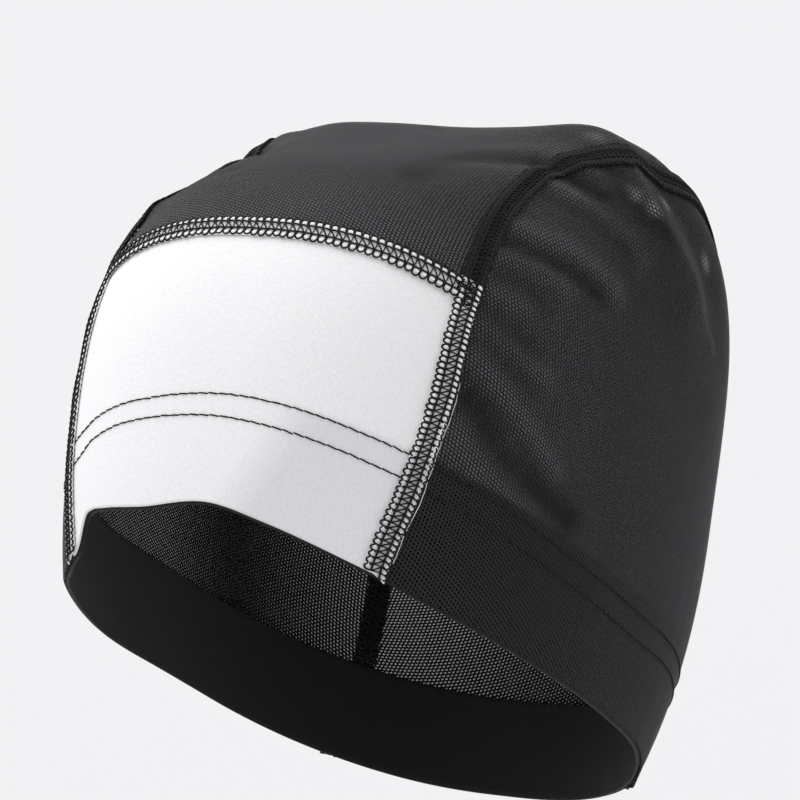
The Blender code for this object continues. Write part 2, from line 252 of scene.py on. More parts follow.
class CapSeams(PropertyGroup):
    """Sizes and colour of the seams' threads."""

    width: metres("Seam width", "Across the flat seam's loops", 0.0064)
    stitch: metres("Front seam stitch", "Length of one stitch of the front seam", 0.00215)
    side_stitch: metres("Side seam stitch", "Length of one stitch of a side seam", 0.00158)
    loop_slant: number("Loop slant", "Lean of the loops on the mesh side", 0.45)
    thread: metres("Thread", "Diameter of a flat seam's thread", 0.00050)
    row_stitch: metres("Row stitch", "Length of one stitch of a hem row", 0.0030)
    row_thread: metres("Row thread", "Diameter of a hem row's thread", 0.00040)
    base_wall: metres("Seam cloth", "Thickness of the cloth between the threads", 0.0005)
    thread_colour: colour("Thread colour", "Seam and row threads", (0.008, 0.008, 0.0088))
    seed: IntProperty(name="Seed", description="Small unevenness of the stitches", default=11)


class CapStudio(PropertyGroup):
    """Camera, lights and floor."""

    view_azimuth: degrees("View azimuth", "Camera round the cap", 31.03)
    view_elevation: degrees("View elevation", "Camera above level", 6.47)
    view_distance: metres("View distance", "Camera to target", 1.3098)
    view_target: FloatVectorProperty(name="View target", description="Point in the picture's middle",
                                     default=(-0.0003, 0.0028, -0.0688), subtype="TRANSLATION")
    lens: number("Lens", "Focal length in millimetres", 219.63)
    floor_drop: metres("Floor drop", "Floor below the hem's lowest point", 0.16)
    floor_colour: colour("Floor", "Colour of the floor", (0.690, 0.690, 0.700))
    surround_strength: number("Surround strength", "Even light from all sides", 0.84)
    sun_strength: number("Sun strength", "Soft light from one side", 1.7)
    sun_softness: degrees("Sun softness", "Width of the soft light", 60)
    sun_azimuth: degrees("Sun azimuth", "Soft light round the cap", -80)
    sun_elevation: degrees("Sun elevation", "Soft light above level", 53)


def smooth(table, key, value, at):
    """Curve through a table's rows, without corners, read at the given places."""
    places = np.array([row[key] for row in table], float)
    values = np.array([row[value] for row in table], float)
    slopes = np.gradient(values, places)
    at = np.clip(at, places[0], places[-1])
    row = np.clip(np.searchsorted(places, at) - 1, 0, len(places) - 2)
    gap = places[row + 1] - places[row]
    part = (at - places[row]) / gap
    square, cube = part ** 2, part ** 3
    return ((2 * cube - 3 * square + 1) * values[row] + (cube - 2 * square + part) * gap * slopes[row]
            + (3 * square - 2 * cube) * values[row + 1] + (cube - square) * gap * slopes[row + 1])


def around(table):
    """The hem's rows with the first and last ones repeated a turn away."""
    before = [dict(row, azimuth=row["azimuth"] - 360) for row in table[-2:]]
    after = [dict(row, azimuth=row["azimuth"] + 360) for row in table[:2]]
    return before + table + after


def by_azimuth(azimuth, elevation):
    """Directions from azimuth and elevation in degrees."""
    turn, rise = np.radians(azimuth), np.radians(elevation)
    return np.stack([np.sin(turn) * np.cos(rise), -np.cos(turn) * np.cos(rise), np.sin(rise)], -1)


def by_turn(aside, turn):
    """Directions from the angle off the middle and the turn up from the forehead, in degrees."""
    side, over = np.radians(aside), np.radians(turn)
    level = np.cos(side)
    return np.stack([np.sin(side) + 0 * over, -level * np.cos(over), level * np.sin(over)], -1)


def azimuth_of(way):
    return np.degrees(np.arctan2(way[..., 0], -way[..., 1]))


def elevation_of(way):
    return np.degrees(np.arcsin(np.clip(way[..., 2], -1, 1)))


def aside_of(way):
    return np.degrees(np.arcsin(np.clip(way[..., 0], -1, 1)))


def turn_of(way):
    turn = np.degrees(np.arctan2(way[..., 2], -way[..., 1]))
    return np.where(turn < -90, turn + 360, turn)


def unit(vectors):
    return vectors / np.linalg.norm(vectors, axis=-1, keepdims=True)


def fade(value, start, end):
    """From 0 to 1 as a value goes from a start to an end."""
    return np.clip((value - start) / (end - start), 0, 1)


def off_path(way, path):
    """Shortest distance between directions and a path of directions, as a share of reach."""
    nearest = np.full(way.shape[:-1], np.inf)
    for start, end in zip(path[:-1], path[1:]):
        run = end - start
        part = np.clip(((way - start) @ run) / (run @ run), 0, 1)
        nearest = np.minimum(nearest, np.linalg.norm(way - start - part[..., None] * run, axis=-1))
    return nearest


def fold_path(points):
    """Directions along a fold, on a curve through its points."""
    along = rows("place azimuth elevation", [(place, *point) for place, point in enumerate(points)])
    places = np.linspace(0, len(points) - 1, 3 * len(points) - 2)
    azimuth, elevation = (smooth(along, "place", key, places) for key in ("azimuth", "elevation"))
    return by_azimuth(azimuth, elevation)


FOLD_PATHS = [fold_path(fold["along"]) for fold in FOLDS]
FOLD_END = 2.6  # how many spreads away a fold ends
NORMAL_STEP = 0.006  # share of the reach over which the form's normal is read


def fold_sum(way, share):
    """The folds and spots together at flat lists of directions: their rise or their painted light."""
    form = bpy.context.scene.cap_form
    total = np.zeros(len(way))
    folded = np.stack([np.abs(way[:, 0]), way[:, 1], way[:, 2]], -1)
    for fold, path in zip(FOLDS, FOLD_PATHS):
        spread = fold["spread"] * form.fold_width / form.half_width
        middle = path[len(path) // 2]
        reach = np.linalg.norm(path - middle, axis=1).max() + FOLD_END * spread
        near = np.linalg.norm(folded - middle, axis=1) < reach
        if near.any():
            total[near] += fold[share] * np.exp(-(off_path(folded[near], path) / spread) ** 2)
    for spot in SPOTS:
        spread = spot["spread"] * form.fold_width / form.half_width
        away = np.linalg.norm(way - by_azimuth(spot["azimuth"], spot["elevation"]), axis=1)
        total += spot[share] * np.exp(-(away / spread) ** 2)
    return total


def form_reach(way):
    """Distance of the cloth's outer face from the centre of the hollow."""
    form = bpy.context.scene.cap_form
    right, back, up = way[..., 0], way[..., 1], way[..., 2]
    far = np.where(back < 0, form.front_reach, form.back_reach)
    plan = (np.abs(right / form.half_width) ** form.plan_roundness
            + np.abs(back / far) ** form.plan_roundness) ** (1 / form.plan_roundness)
    height = np.where(up > 0, form.crown_reach, form.lower_reach)
    roundness = np.where(up > 0, form.crown_roundness, form.lower_roundness)
    reach = (plan ** roundness + np.abs(up / height) ** roundness) ** (-1 / roundness)
    for swell in SWELLS:
        centre = by_azimuth(swell["azimuth"], swell["elevation"])
        centres = [centre, centre * (-1.0, 1.0, 1.0)] if swell["azimuth"] else [centre]
        for middle in centres:
            angle = np.degrees(np.arccos(np.clip(way @ middle, -1, 1)))
            reach = reach + swell["height"] * form.half_width * np.exp(-(angle / swell["spread"]) ** 2)
    folds = fold_sum(way.reshape(-1, 3), "rise").reshape(reach.shape)
    return reach + form.fold_height * folds


def on_form(way, lift):
    """Points at a height over the form's face, along its normal."""
    upright = np.array([0.0, 0.0, 1.0])
    level = np.array([1.0, 0.0, 0.0])
    first = unit(np.cross(way, np.where(np.abs(way[..., 2:]) < 0.9, upright, level)))
    second = np.cross(way, first)
    centre = form_reach(way)[..., None] * way

    def beside(direction):
        ahead, behind = unit(way + NORMAL_STEP * direction), unit(way - NORMAL_STEP * direction)
        return form_reach(ahead)[..., None] * ahead - form_reach(behind)[..., None] * behind

    normal = unit(np.cross(beside(first), beside(second)))
    return lean(centre + np.asarray(lift)[..., None] * normal)


def leaning():
    """The worn cap's turn backwards, and how far its seat lies over the hollow's centre."""
    form = bpy.context.scene.cap_form
    cos, sin = math.cos(form.lean), math.sin(form.lean)
    rise = float(form_reach(np.array([0.0, -sin, cos]))) - form.seat_wall
    return np.array([[1, 0, 0], [0, cos, sin], [0, -sin, cos]]), np.array([0.0, 0.0, rise])


def lean(points):
    """Points of the upright form, leant back and moved so that the seat is the origin."""
    turn, rise = leaning()
    return points @ turn.T - rise


def hem_value(azimuth, value):
    turned = (np.asarray(azimuth, float) + 180) % 360 - 180
    return smooth(around(HEM), "azimuth", value, turned)


def above_hem(azimuth, height):
    """Directions at a height over the hem's edge, measured along the cloth."""
    elevation = hem_value(azimuth, "elevation")
    rise = np.degrees(height / form_reach(by_azimuth(azimuth, elevation)))
    return by_azimuth(azimuth, elevation + rise)


def height_over_hem(way):
    """How far directions lie above the hem's edge along the cloth, in metres."""
    rise = elevation_of(way) - hem_value(azimuth_of(way), "elevation")
    return np.radians(rise) * form_reach(way)


def seam_aside(turn):
    return smooth(SIDE_SEAM, "turn", "aside", np.asarray(turn, float))


def seam_way(share, turn):
    """Directions at a turn, by the share of the way from the middle to a side seam."""
    return by_turn(share * seam_aside(turn), turn)


def front_seam_turn(share):
    """Turn of the forehead's seam, by the share of the way from the middle to a side seam."""
    form = bpy.context.scene.cap_form
    middle, side = math.degrees(form.front_seam_middle), math.degrees(form.front_seam_side)
    return middle + (side - middle) * share ** 2


def hem_turn(share, above, below):
    """Turn where a line at a share of the middle's width crosses the hem, between two turns."""
    above = np.full(np.shape(share), float(above))
    below = np.full(np.shape(share), float(below))
    for _ in range(40):
        middle = (above + below) / 2
        way = seam_way(share, middle)
        clear = elevation_of(way) > hem_value(azimuth_of(way), "elevation")
        above = np.where(clear, middle, above)
        below = np.where(clear, below, middle)
    return above


def front_hem_turn(share):
    return hem_turn(share, 10, -60)


def back_hem_turn(share):
    return hem_turn(share, 170, 260)


def corner_turns(side):
    """Turns where a side seam meets the hem, in front and at the back."""
    share = np.array(float(side))
    return float(front_hem_turn(share)), float(back_hem_turn(share))


# Painted light in the mesh's holes, brightest in front, and over which azimuths or turns it falls off
# backwards
SIDE_PAINTED_LIGHT = dict(front=0.42, fall=0.18, start=60, end=78)
CROWN_PAINTED_LIGHT = dict(front=0.80, fall=0.43, start=34, end=50)

# Loose cloth behind the tent, which gets no painted light in its holes: width and soft edges in degrees
LOOSE = dict(front_edge=3, width=42, back_edge=12, low_start=18, low_end=24)

# How much the folds' painted light and painted shade count, and how far over the hem's double cloth the
# painted light starts
LIGHT_FOLD, DARK_FOLD = 1.1, 0.75
PAINTED_LIGHT_START = 0.0012


def painted_light_in_holes(way):
    """How much painted light the mesh's holes show: more in front and on taut cloth, less on loose cloth,
    lighter and darker along the folds.
    """
    form = bpy.context.scene.cap_form
    azimuth, elevation = np.abs(azimuth_of(way)), elevation_of(way)
    middle = np.clip((seam_aside(turn_of(way)) - np.abs(aside_of(way))) / 2 + 0.5, 0, 1)
    side_painted, crown_painted = (tone["front"] - tone["fall"] * fade(place, tone["start"], tone["end"])
                             for tone, place in ((SIDE_PAINTED_LIGHT, azimuth), (CROWN_PAINTED_LIGHT, turn_of(way))))
    tone = side_painted + (crown_painted - side_painted) * middle
    past = azimuth - smooth(TENT, "elevation", "azimuth", elevation)
    behind = fade(past, 0, LOOSE["front_edge"]) * fade(LOOSE["width"] - past, 0, LOOSE["back_edge"])
    tone = tone * (1 - behind * fade(elevation, LOOSE["low_start"], LOOSE["low_end"]))
    folds = fold_sum(way, "tone")
    tone = tone + np.where(folds > 0, LIGHT_FOLD, DARK_FOLD) * folds
    over = height_over_hem(way) - hem_value(azimuth_of(way), "upper") * form.band_height
    return np.clip(tone, 0, 2) * fade(over, 0, PAINTED_LIGHT_START)


# Painted shade on the white band's side away from the light: the azimuth where it starts,
# how it slants with the height, and its soft edges, in degrees
SHADE = dict(start=2.5, slant=9.0, edge=7, fall_start=8, fall_end=26)

# Soft upper edge of the band, as a share of its height
BAND_EDGE = 0.04


def lining_and_painted_shade_share(way):
    """How much of the hem's lining shows through the mesh's band, and how much painted shade darkens the
    white band's side away from the light.
    """
    form = bpy.context.scene.cap_form
    azimuth = azimuth_of(way)
    over = height_over_hem(way) / form.band_height
    band = np.clip((hem_value(azimuth, "upper") - over) / BAND_EDGE + 0.5, 0, 1)
    turn = turn_of(way)
    white = (turn < math.degrees(form.front_seam_middle)) & (np.abs(aside_of(way)) < seam_aside(turn))
    past = azimuth - SHADE["start"] - SHADE["slant"] * over
    shaded = fade(past, 0, SHADE["edge"]) * (1 - 0.5 * fade(past, SHADE["fall_start"], SHADE["fall_end"]))
    return np.where(white, band * shaded, band)


def turned_chart(pairs, angle):
    """Map pairs turned by an angle, so that the cloth's grain lies along them."""
    x, y = pairs
    cos, sin = math.cos(angle), math.sin(angle)
    return x * cos + y * sin, y * cos - x * sin


def deselect():
    """Leaves object mode's selection empty."""
    if bpy.context.object and bpy.context.object.mode != "OBJECT":
        bpy.ops.object.mode_set(mode="OBJECT")
    bpy.ops.object.select_all(action="DESELECT")


def only(piece):
    deselect()
    piece.select_set(True)
    bpy.context.view_layer.objects.active = piece


def in_edit_mode(step, **settings):
    """Runs an operator in edit mode on all of the active piece."""
    bpy.ops.object.mode_set(mode="EDIT")
    bpy.ops.mesh.select_all(action="SELECT")
    step(**settings)
    bpy.ops.object.mode_set(mode="OBJECT")


def name_piece(piece, name):
    piece.name = name
    piece.data.name = name
    return piece


def vertices_of(mesh):
    places = np.empty(len(mesh.vertices) * 3)
    mesh.vertices.foreach_get("co", places)
    return places.reshape(-1, 3)


def place_vertices(mesh, points):
    mesh.vertices.foreach_set("co", np.asarray(points, float).ravel())
    mesh.update()


def set_map(mesh, across, along):
    """Writes the piece's map, in metres of cloth, from one pair for each vertex."""
    corner_vertex = np.empty(len(mesh.loops), int)
    mesh.loops.foreach_get("vertex_index", corner_vertex)
    layer = mesh.uv_layers[0] if mesh.uv_layers else mesh.uv_layers.new(name="cloth")
    layer.name = "cloth"
    pairs = np.stack([across[corner_vertex], along[corner_vertex]], -1)
    layer.data.foreach_set("uv", pairs.ravel())


def set_attribute(mesh, name, values):
    attribute = mesh.attributes.new(name, "FLOAT", "POINT")
    attribute.data.foreach_set("value", np.asarray(values, float))


def lay_cloth(name, cells, ways, lift, wall, chart, closed=False):
    """A piece of cloth: a grid laid on the form, with its map, its painted hole light and its share of
    lining and painted shade, and then its wall.
    """
    deselect()
    bpy.ops.mesh.primitive_grid_add(x_subdivisions=cells[0], y_subdivisions=cells[1], size=1.0)
    piece = name_piece(bpy.context.object, name)
    flat = vertices_of(piece.data)
    across, along = flat[:, 0] + 0.5, flat[:, 1] + 0.5
    way = ways(across, along)
    height = lift(way, across, along) if callable(lift) else np.full(len(way), lift)
    place_vertices(piece.data, on_form(way, height))
    set_map(piece.data, *chart(way, across, along))
    set_attribute(piece.data, "tone", painted_light_in_holes(way))
    set_attribute(piece.data, "lining_and_painted_shade", lining_and_painted_shade_share(way))
    if closed:
        in_edit_mode(bpy.ops.mesh.remove_doubles, threshold=1e-6)
    middle = Vector(lean(np.zeros(3)))
    if sum(face.normal.dot(face.center - middle) for face in piece.data.polygons) < 0:
        in_edit_mode(bpy.ops.mesh.flip_normals)
    thickness = piece.modifiers.new("Wall", "SOLIDIFY")
    thickness.thickness = wall
    thickness.offset = -1.0
    bpy.ops.object.modifier_apply(modifier="Wall")
    bpy.ops.object.shade_smooth()
    return piece


def finish_piece(piece, looks, slot, *nodes):
    """Gives a piece its materials by name and its body, and hides the frame's parts that it stands for.
    Its slot is not used.
    """
    piece.data.materials.clear()
    for look in looks.split():
        piece.data.materials.append(material_by_name(look))
    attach(piece, BODY)
    if nodes:
        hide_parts(*nodes)


class NodeWork:
    """Short calls for building a node tree."""

    def __init__(self, tree):
        self.tree = tree

    def add(self, kind, **settings):
        node = self.tree.nodes.new(kind)
        for name, value in settings.items():
            setattr(node, name, value)
        return node

    def join(self, source, target):
        self.tree.links.new(source, target)

    def feed(self, socket, value):
        if isinstance(value, bpy.types.NodeSocket):
            self.join(value, socket)
        else:
            socket.default_value = value

    def give(self, node, values):
        """Sets or joins a node's inputs by their labels."""
        for label, value in values.items():
            self.feed(node.inputs[label], value)

    def math(self, operation, first, second=None, third=None):
        node = self.add("ShaderNodeMath", operation=operation)
        for socket, value in zip(node.inputs, (first, second, third)):
            if value is not None:
                self.feed(socket, value)
        return node.outputs[0]

    def ramp(self, value, low, high, start=0.0, end=1.0):
        node = self.add("ShaderNodeMapRange", interpolation_type="SMOOTHSTEP")
        for socket, given in zip(node.inputs, (value, low, high, start, end)):
            self.feed(socket, given)
        return node.outputs[0]

    def scaled(self, vector, factor):
        node = self.add("ShaderNodeVectorMath", operation="SCALE")
        self.feed(node.inputs[0], vector)
        self.feed(node.inputs["Scale"], factor)
        return node.outputs[0]

    def noise(self, place, scale, detail):
        node = self.add("ShaderNodeTexNoise")
        self.give(node, {"Vector": place, "Scale": scale, "Detail": detail})
        return node.outputs[0]

    def point_value(self, name):
        node = self.add("ShaderNodeAttribute", attribute_name=name, attribute_type="GEOMETRY")
        return node.outputs["Fac"]

    def mix(self, share, first, second):
        node = self.add("ShaderNodeMix", data_type="RGBA")
        self.feed(node.inputs[0], share)
        self.feed(node.inputs[6], first)
        self.feed(node.inputs[7], second)
        return node.outputs[2]


def new_group(name, inputs, outputs):
    """A shader node group with number outputs. An input without a number is a vector."""
    group = bpy.data.node_groups.new(name, "ShaderNodeTree")
    for label, value in inputs.items():
        kind = "NodeSocketVector" if value is None else "NodeSocketFloat"
        socket = group.interface.new_socket(label, in_out="INPUT", socket_type=kind)
        if value is not None:
            socket.default_value = value
    for label in outputs:
        group.interface.new_socket(label, in_out="OUTPUT", socket_type="NodeSocketFloat")
    work = NodeWork(group)
    return group, work, work.add("NodeGroupInput").outputs, work.add("NodeGroupOutput")


# Step from row to row of the net as a share of its pitch, and a hole's width over its height
ROW_STEP = 0.866
HOLE_SLIMNESS = 0.68


def net_group():
    """Rows of round holes, each row half a pitch over: a mask of the holes and the yarn's height."""
    group, work, given, out = new_group(
        "Net of holes", dict(Map=None, Pitch=0.001, Hole=0.28, Unevenness=0.12), ("Mask", "Height"))
    wobble = work.math("SUBTRACT", work.noise(given["Map"], 260.0, 1.0), 0.5)
    shift = work.math("MULTIPLY", wobble, given["Unevenness"])
    parts = work.add("ShaderNodeSeparateXYZ")
    work.join(given["Map"], parts.inputs[0])
    row_pitch = work.math("MULTIPLY", given["Pitch"], ROW_STEP)
    lines = work.math("ADD", work.math("DIVIDE", parts.outputs[1], row_pitch), shift)
    odd = work.math("FLOORED_MODULO", work.math("FLOOR", lines), 2.0)
    columns = work.math("DIVIDE", parts.outputs[0], given["Pitch"])
    columns = work.math("ADD", work.math("MULTIPLY_ADD", odd, 0.5, columns), shift)
    off_x = work.math("SUBTRACT", work.math("FRACT", columns), 0.5)
    off_y = work.math("MULTIPLY", work.math("SUBTRACT", work.math("FRACT", lines), 0.5), ROW_STEP)
    slim_y = work.math("MULTIPLY", off_y, HOLE_SLIMNESS)
    slim_square = work.math("MULTIPLY", slim_y, slim_y)
    away = work.math("SQRT", work.math("MULTIPLY_ADD", off_x, off_x, slim_square))
    inside = work.math("SUBTRACT", given["Hole"], away)
    work.give(out, {"Mask": work.ramp(inside, -0.05, 0.05), "Height": work.ramp(inside, 0.0, -0.2)})
    return group


def knit_group():
    """Fine upright ribs crossed by courses, with some random unevenness: a height, and painted light that
    is lighter on the ribs than in the grooves.
    """
    group, work, given, out = new_group(
        "Fine knit", dict(Map=None, Pitch=0.0006), ("Height", "Tone"))
    parts = work.add("ShaderNodeSeparateXYZ")
    work.join(given["Map"], parts.inputs[0])
    turns = work.math("DIVIDE", 2 * math.pi, given["Pitch"])
    ribs = work.math("SINE", work.math("MULTIPLY", parts.outputs[0], turns))
    courses = work.math("SINE", work.math("MULTIPLY", work.math("MULTIPLY", parts.outputs[1], turns), 1.3))
    height = work.math("MULTIPLY_ADD", ribs, 0.35, work.math("MULTIPLY", courses, 0.25))
    height = work.math("ADD", height, work.noise(given["Map"], 900.0, 2.0))
    work.give(out, {"Height": height, "Tone": work.ramp(height, -0.4, 1.6)})
    return group


def twist_group():
    """Slanting plies and fuzz of a thread: a height, and painted sheen on its raised plies."""
    group, work, given, out = new_group(
        "Thread twist", dict(Place=None, Scale=2500.0), ("Height", "Tone"))
    plies = work.noise(given["Place"], given["Scale"], 2.0)
    work.give(out, {"Height": plies, "Tone": work.ramp(plies, 0.35, 0.7)})
    return group


def shared(name, make):
    """A node group by name, made on its first use."""
    return bpy.data.node_groups.get(name) or make()


def new_material(name):
    material = bpy.data.materials.new(name)
    material.use_nodes = True
    work = NodeWork(material.node_tree)
    return material, work, material.node_tree.nodes["Principled BSDF"]


def place_group(work, group, **values):
    node = work.add("ShaderNodeGroup", node_tree=group)
    work.give(node, values)
    return node


def bump(work, shader, height, distance):
    node = work.add("ShaderNodeBump")
    work.give(node, {"Strength": 1.0, "Distance": distance, "Height": height})
    work.join(node.outputs[0], shader.inputs["Normal"])


def mesh_material():
    """Black net whose holes let light through and show painted light by the cloth's own value, which also
    lightens the yarn a little.
    """
    cloth = bpy.context.scene.cap_cloth
    material, work, shader = new_material("cap_black_mesh")
    chart = work.add("ShaderNodeUVMap", uv_map="cloth")
    tone, lining_and_painted_shade = work.point_value("tone"), work.point_value("lining_and_painted_shade")
    net = place_group(work, shared("Net of holes", net_group), Map=chart.outputs[0],
                      Pitch=cloth.net_pitch, Hole=cloth.net_hole)
    yarn = place_group(work, shared("Fine knit", knit_group), Map=chart.outputs[0],
                       Pitch=cloth.net_pitch / 3)
    plain = work.mix(lining_and_painted_shade, (*cloth.net_colour, 1.0), (*cloth.lined_net_colour, 1.0))
    # Painted light: the yarn's colour is lighter on its raised knit and where the holes show more painted
    # light
    grain = work.ramp(yarn.outputs["Tone"], 0.0, 1.0, 0.9, 1.1)
    painted_light_colour = work.scaled(plain, work.math("MULTIPLY", grain, work.math("MULTIPLY_ADD", tone, 0.4, 0.85)))
    shown = work.add("ShaderNodeVectorMath", operation="MULTIPLY_ADD")
    seen = work.ramp(lining_and_painted_shade, 0.0, 1.0, 1.2, 0.15)
    for socket, value in zip(shown.inputs, (plain, seen, work.scaled(tuple(cloth.painted_hole_light_colour), tone))):
        work.feed(socket, value)
    through = work.math("MULTIPLY", net.outputs["Mask"], cloth.net_open)
    work.give(shader, {
        "Base Color": work.mix(net.outputs["Mask"], painted_light_colour, shown.outputs[0]),
        "Alpha": work.math("SUBTRACT", 1.0, through),
        "Roughness": 0.66, "Specular IOR Level": 0.10, "Sheen Weight": 0.04,
        "Sheen Roughness": 0.40, "Sheen Tint": (0.82, 0.76, 0.86, 1.0)})
    bump(work, shader, net.outputs["Height"], 0.00006)
    return material


def knit_material(name, yarn, painted_shade_yarn, pitch, depth):
    """Close knit of one colour with fine ribs, lighter on the ribs as painted light, and a second colour
    where the share of lining and painted shade is high: on the white knit, painted shade.
    """
    material, work, shader = new_material(name)
    chart = work.add("ShaderNodeUVMap", uv_map="cloth")
    knit = place_group(work, shared("Fine knit", knit_group), Map=chart.outputs[0], Pitch=pitch)
    plain = work.mix(work.point_value("lining_and_painted_shade"), (*yarn, 1.0), (*painted_shade_yarn, 1.0))
    # Painted light: the knit's colour is a little lighter on its ribs than in its grooves
    work.give(shader, {
        "Base Color": work.scaled(plain, work.ramp(knit.outputs["Tone"], 0.15, 0.85, 0.88, 1.03)),
        "Roughness": 0.78, "Specular IOR Level": 0.2, "Sheen Weight": 0.1, "Sheen Roughness": 0.5})
    bump(work, shader, knit.outputs["Height"], depth)
    return material


def thread_material():
    """Dark sewing thread with a faint twist and painted sheen on its raised plies."""
    seams = bpy.context.scene.cap_seams
    material, work, shader = new_material("cap_thread")
    place = work.add("ShaderNodeTexCoord")
    twist = place_group(work, shared("Thread twist", twist_group), Place=place.outputs["Object"])
    # Painted sheen: the thread's colour is twice as light on its raised plies
    dark = (*seams.thread_colour, 1.0)
    painted_light_colour = (*(2.0 * channel for channel in seams.thread_colour), 1.0)
    work.give(shader, {"Base Color": work.mix(twist.outputs["Tone"], dark, painted_light_colour),
                       "Roughness": 0.6, "Specular IOR Level": 0.12})
    bump(work, shader, twist.outputs["Height"], 0.00006)
    return material


def material_by_name(name):
    """The cap's materials, each made on its first use and apart from the frame's plain ones."""
    cloth = bpy.context.scene.cap_cloth
    made = bpy.data.materials.get(name)
    if made:
        return made
    if name == "cap_black_mesh":
        return mesh_material()
    if name == "cap_thread":
        return thread_material()
    if name == "cap_white_knit":
        return knit_material(name, cloth.white_colour, cloth.painted_shade_white_colour,
                             cloth.knit_pitch, 0.00005)
    return knit_material(name, cloth.band_colour, cloth.band_colour, cloth.knit_pitch, 0.00008)


# How much further than the half width a panel lies from the centre, for its map
MAP_EASE = dict(middle=0.008, side=0.006, hem=0.010)


def middle_chart(way, across, along):
    """Map of a middle panel, in metres of cloth off the middle and backwards."""
    form = bpy.context.scene.cap_form
    wide = form.half_width + MAP_EASE["middle"]
    return np.radians(aside_of(way)) * wide, np.radians(turn_of(way)) * form.front_reach


def crown_chart(way, across, along):
    return turned_chart(middle_chart(way, across, along), bpy.context.scene.cap_cloth.crown_grain)


def side_chart(side):
    """Map of a side panel, in metres of cloth round the middle of that side."""
    pole = by_azimuth(90.0 * side, 5.0)
    east = unit(np.cross(np.array([0.0, 0.0, 1.0]), pole))
    north = np.cross(pole, east)

    def chart(way, across, along):
        angle = np.arccos(np.clip(way @ pole, -1, 1))
        flat = np.stack([way @ east, way @ north], -1)
        flat = flat / np.maximum(np.linalg.norm(flat, axis=-1, keepdims=True), 1e-9)
        spread = angle * (bpy.context.scene.cap_form.half_width + MAP_EASE["side"])
        grain = side * bpy.context.scene.cap_cloth.side_grain
        return turned_chart((flat[:, 0] * spread, flat[:, 1] * spread), grain)

    return chart


def middle_panel_ways(front_edge, back_edge):
    """Directions over a panel between the side seams, from one edge's turns to another's."""

    def ways(across, along):
        share = 2 * across - 1
        front, back = front_edge(share), back_edge(share)
        turn = front + (back - front) * along
        return seam_way(share, turn)

    return ways


def side_panel_ways(side):
    """Directions over a side panel, blended between its hem and three stretches of seam."""
    front_corner, back_corner = corner_turns(side)
    top_start, top_end = 48.0, 132.0

    def seam(turn):
        return seam_way(side, turn)

    start = float(azimuth_of(seam(front_corner)))
    end = float(azimuth_of(seam(back_corner)))

    def ways(across, along):
        azimuth = start + (end - start) * across
        bottom = by_azimuth(azimuth, hem_value(azimuth, "elevation"))
        top = seam(top_start + (top_end - top_start) * across)
        front = seam(front_corner + (top_start - front_corner) * along)
        back = seam(back_corner + (top_end - back_corner) * along)
        u, v = across[..., None], along[..., None]
        corners = ((1 - u) * (1 - v) * by_azimuth(start, hem_value(start, "elevation"))
                   + u * (1 - v) * by_azimuth(end, hem_value(end, "elevation"))
                   + (1 - u) * v * seam(top_start) + u * v * seam(top_end))
        return unit((1 - v) * bottom + v * top + (1 - u) * front + u * back - corners)

    return ways


def facing_ways(across, along):
    form, cloth = bpy.context.scene.cap_form, bpy.context.scene.cap_cloth
    azimuth = 360 * across - 180
    top = hem_value(azimuth, "upper") * form.band_height + PAINTED_LIGHT_START
    return above_hem(azimuth, -cloth.facing_drop + (top + cloth.facing_drop) * along)


def facing_chart(way, across, along):
    form = bpy.context.scene.cap_form
    return 2 * math.pi * across * (form.half_width + MAP_EASE["hem"]), along * form.band_height


def make_panel(name, look, cells, ways, chart):
    """A panel of cloth, which stands for the frame's panel of that name."""
    wall = bpy.context.scene.cap_cloth.panel_wall
    piece = lay_cloth(f"{name}_cloth", cells, ways, 0.0, wall, chart)
    finish_piece(piece, f"cap_{look}", look, name)
    return piece


class CAP_OT_front_panel(Operator):
    """Makes the white knit panel over the forehead"""

    bl_idname = "cap.front_panel"
    bl_label = "Front panel"

    def execute(self, context):
        ways = middle_panel_ways(front_hem_turn, front_seam_turn)
        piece = make_panel("front_panel", "white_knit", (130, 100), ways, middle_chart)
        return {"FINISHED"}


class CAP_OT_crown_panel(Operator):
    """Makes the black mesh panel over the crown"""

    bl_idname = "cap.crown_panel"
    bl_label = "Crown panel"

    def execute(self, context):
        ways = middle_panel_ways(front_seam_turn, back_hem_turn)
        piece = make_panel("crown_panel", "black_mesh", (110, 260), ways, crown_chart)
        return {"FINISHED"}


class CAP_OT_side_panels(Operator):
    """Makes the black mesh panels at the two sides"""

    bl_idname = "cap.side_panels"
    bl_label = "Side panels"

    def execute(self, context):
        for side, word in ((1, "left"), (-1, "right")):
            piece = make_panel(f"side_panel_{word}", "black_mesh", (210, 170), side_panel_ways(side),
                               side_chart(side))
        return {"FINISHED"}


class CAP_OT_hem(Operator):
    """Makes the black lining of the hem"""

    bl_idname = "cap.hem"
    bl_label = "Hem lining"

    def execute(self, context):
        cloth = context.scene.cap_cloth
        piece = lay_cloth("hem_facing_cloth", (360, 16), facing_ways, -cloth.facing_depth,
                          cloth.facing_wall, facing_chart, closed=True)
        finish_piece(piece, "cap_lining", "band_cloth", "hem_facing")
        return {"FINISHED"}


# Points by which a seam's line goes on past each end
MARGIN = 10

# Where the left side seam lies wider, by turn over the crown, over how many degrees and how much
WIDER = dict(turn=97, over=13, more=0.50)

# Along a seam, in metres: how far its threads run past its ends, where the raw edge starts and
# ends, and where the threads on the inside start and end, counted from the front and back hem
SIDE_SEAM_PAST = 0.004
FRONT_SEAM_PAST = 0.0028
RAW_EDGE = (0.004, 0.054)
INSIDE_ENDS = (0.034, 0.030)

# Raw edge: length of a step, place beside the loops, unevenness sideways and upwards, half thickness
RAW_ROLL = dict(step=0.0009, beside=0.00036, sideways=0.0004, upwards=0.0003, radius=0.00011)

